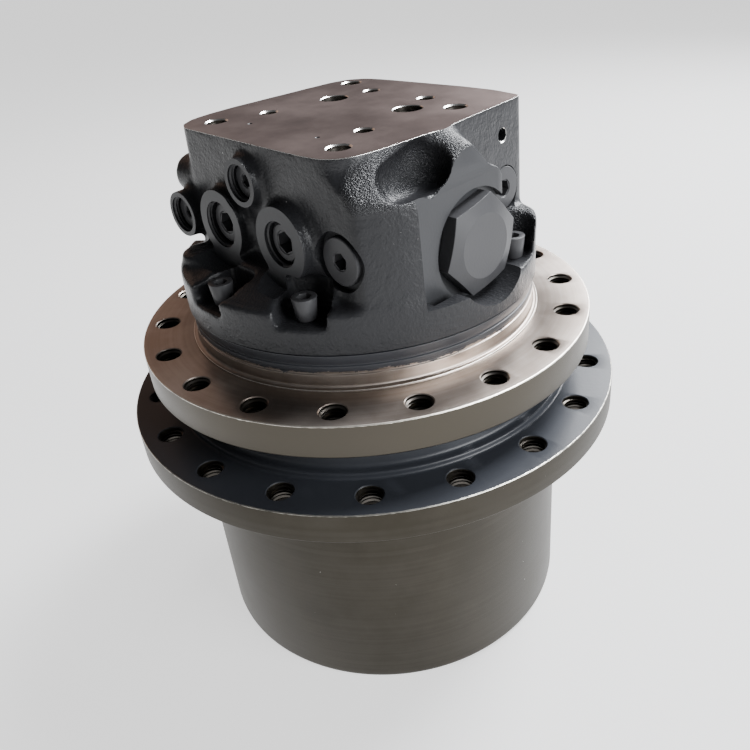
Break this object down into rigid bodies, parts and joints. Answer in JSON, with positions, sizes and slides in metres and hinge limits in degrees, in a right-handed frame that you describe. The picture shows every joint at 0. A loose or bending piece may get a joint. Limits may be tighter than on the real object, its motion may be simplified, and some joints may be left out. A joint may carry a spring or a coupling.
{
  "type": "excavator final drive",
  "caption": "Hydraulic travel final drive: a fixed flanged spindle with its motor and port block turns a flanged hub and drum through a two-stage planetary gear train.",
  "frame": {"origin": "centre of the drum's open end face, on the output axis", "axes": "+Z along the output axis from the drum's cover to the port face; +X towards the large hexagon plug; -Y towards the front wall with five plugged ports"},
  "size_m": [0.2899, 0.2899, 0.309],
  "materials": {
    "casting_paint": "semi-gloss black paint over a sand cast skin",
    "turned_steel": "turned, lightly oxidised",
    "hub_iron": "turned iron, oxidised olive-brown",
    "gear_steel": "machined and case hardened",
    "bearing_steel": "ground",
    "seal_rubber": "moulded",
    "plug_steel": "blackened",
    "bearing_bronze": "ground bronze",
    "brake_friction": "friction lining",
    "spring_steel": "oil tempered"
  },
  "bodies": {
    "frame_side": {"frame_spindle": "turned_steel", "port_block": "casting_paint", "spool_plug_right": "plug_steel", "spool_plug_left": "plug_steel", "spool_spring_left": "spring_steel", "spool_spring_right": "spring_steel", "port_plug_1": "plug_steel", "port_plug_2": "plug_steel", "port_plug_3": "plug_steel", "port_plug_4": "plug_steel", "port_plug_5": "plug_steel", "side_plug": "plug_steel", "spindle_nut": "gear_steel", "lower_bearing_inner_race": "bearing_steel", "upper_bearing_inner_race": "bearing_steel", "frame_seal_ring": "bearing_steel", "frame_toric_ring": "seal_rubber", "planet_pin_2_a": "gear_steel", "planet_pin_2_b": "gear_steel", "planet_pin_2_c": "gear_steel", "thrust_plate": "bearing_bronze", "valve_plate": "bearing_bronze", "shaft_bearing_lower": "bearing_steel", "shaft_bearing_upper": "bearing_steel", "shaft_oil_seal": "seal_rubber", "brake_plate_lower": "gear_steel", "brake_plate_upper": "gear_steel"},
    "hub_side": {"hub": "hub_iron", "ring_gear": "gear_steel", "end_cover": "hub_iron", "cover_retaining_ring": "spring_steel", "oil_fill_plug": "plug_steel", "oil_drain_plug": "plug_steel", "lower_bearing_outer_race": "bearing_steel", "upper_bearing_outer_race": "bearing_steel", "hub_seal_ring": "bearing_steel", "hub_toric_ring": "seal_rubber"},
    "lower_cage": {"lower_bearing_balls": "bearing_steel"},
    "upper_cage": {"upper_bearing_balls": "bearing_steel"},
    "first_carrier": {"carrier_1": "gear_steel", "sun_gear_2": "gear_steel"},
    "motor_rotor": {"motor_shaft": "gear_steel", "sun_gear_1": "gear_steel", "cylinder_block": "gear_steel", "piston_set": "bearing_bronze", "brake_disc": "brake_friction"},
    "first_planet_a": {"planet_1_a": "gear_steel"},
    "first_planet_b": {"planet_1_b": "gear_steel"},
    "first_planet_c": {"planet_1_c": "gear_steel"},
    "second_planet_a": {"planet_2_a": "gear_steel"},
    "second_planet_b": {"planet_2_b": "gear_steel"},
    "second_planet_c": {"planet_2_c": "gear_steel"},
    "swash": {"swash_plate": "gear_steel"},
    "tilting_piston": {"tilt_piston": "gear_steel"},
    "sprung_brake_piston": {"brake_piston": "gear_steel", "brake_spring": "spring_steel"},
    "spool": {"counterbalance_spool": "gear_steel"}
  },
  "joints": [
    {"name": "hub_spin", "type": "hinge", "parent": "frame_side", "child": "hub_side", "pos_m": [0, 0, 0.15], "axis": [0, 0, 1], "continuous": true},
    {"name": "lower_cage_spin", "type": "hinge", "parent": "frame_side", "child": "lower_cage", "pos_m": [0, 0, 0.1078], "axis": [0, 0, 1], "continuous": true},
    {"name": "upper_cage_spin", "type": "hinge", "parent": "frame_side", "child": "upper_cage", "pos_m": [0, 0, 0.1359], "axis": [0, 0, 1], "continuous": true},
    {"name": "carrier_spin", "type": "hinge", "parent": "frame_side", "child": "first_carrier", "pos_m": [0, 0, 0.0485], "axis": [0, 0, 1], "continuous": true},
    {"name": "motor_spin", "type": "hinge", "parent": "frame_side", "child": "motor_rotor", "pos_m": [0, 0, 0.19], "axis": [0, 0, 1], "continuous": true},
    {"name": "first_planet_a_spin", "type": "hinge", "parent": "first_carrier", "child": "first_planet_a", "pos_m": [0, 0.054, 0.0305], "axis": [0, 0, 1], "continuous": true},
    {"name": "first_planet_b_spin", "type": "hinge", "parent": "first_carrier", "child": "first_planet_b", "pos_m": [-0.04677, -0.027, 0.0305], "axis": [0, 0, 1], "continuous": true},
    {"name": "first_planet_c_spin", "type": "hinge", "parent": "first_carrier", "child": "first_planet_c", "pos_m": [0.04677, -0.027, 0.0305], "axis": [0, 0, 1], "continuous": true},
    {"name": "second_planet_a_spin", "type": "hinge", "parent": "frame_side", "child": "second_planet_a", "pos_m": [0.05066, 0.02925, 0.0725], "axis": [0, 0, 1], "continuous": true},
    {"name": "second_planet_b_spin", "type": "hinge", "parent": "frame_side", "child": "second_planet_b", "pos_m": [-0.05066, 0.02925, 0.0725], "axis": [0, 0, 1], "continuous": true},
    {"name": "second_planet_c_spin", "type": "hinge", "parent": "frame_side", "child": "second_planet_c", "pos_m": [0, -0.0585, 0.0725], "axis": [0, 0, 1], "continuous": true},
    {"name": "swash_tilt", "type": "hinge", "parent": "frame_side", "child": "swash", "pos_m": [0, 0, 0.15], "axis": [0, 1, 0], "range_deg": [0, 7]},
    {"name": "tilt_piston_slide", "type": "slide", "parent": "frame_side", "child": "tilting_piston", "axis": [0, 0, 1], "range_m": [0, 0.00538]},
    {"name": "brake_release", "type": "slide", "parent": "frame_side", "child": "sprung_brake_piston", "axis": [0, 0, 1], "range_m": [0, 0.0015]},
    {"name": "spool_slide", "type": "slide", "parent": "frame_side", "child": "spool", "axis": [1, 0, 0], "range_m": [-0.003, 0.003]}
  ],
  "couplings": [
    {"joint": "lower_cage_spin", "follows": "hub_spin", "ratio": 0.534},
    {"joint": "upper_cage_spin", "follows": "hub_spin", "ratio": 0.534},
    {"joint": "carrier_spin", "follows": "hub_spin", "ratio": -3.3333},
    {"joint": "motor_spin", "follows": "hub_spin", "ratio": -25},
    {"joint": "first_planet_a_spin", "follows": "hub_spin", "ratio": 10.833},
    {"joint": "first_planet_b_spin", "follows": "hub_spin", "ratio": 10.833},
    {"joint": "first_planet_c_spin", "follows": "hub_spin", "ratio": 10.833},
    {"joint": "second_planet_a_spin", "follows": "hub_spin", "ratio": 2.8571},
    {"joint": "second_planet_b_spin", "follows": "hub_spin", "ratio": 2.8571},
    {"joint": "second_planet_c_spin", "follows": "hub_spin", "ratio": 2.8571},
    {"joint": "tilt_piston_slide", "follows": "swash_tilt", "m_per_rad": 0.044}
  ]
}
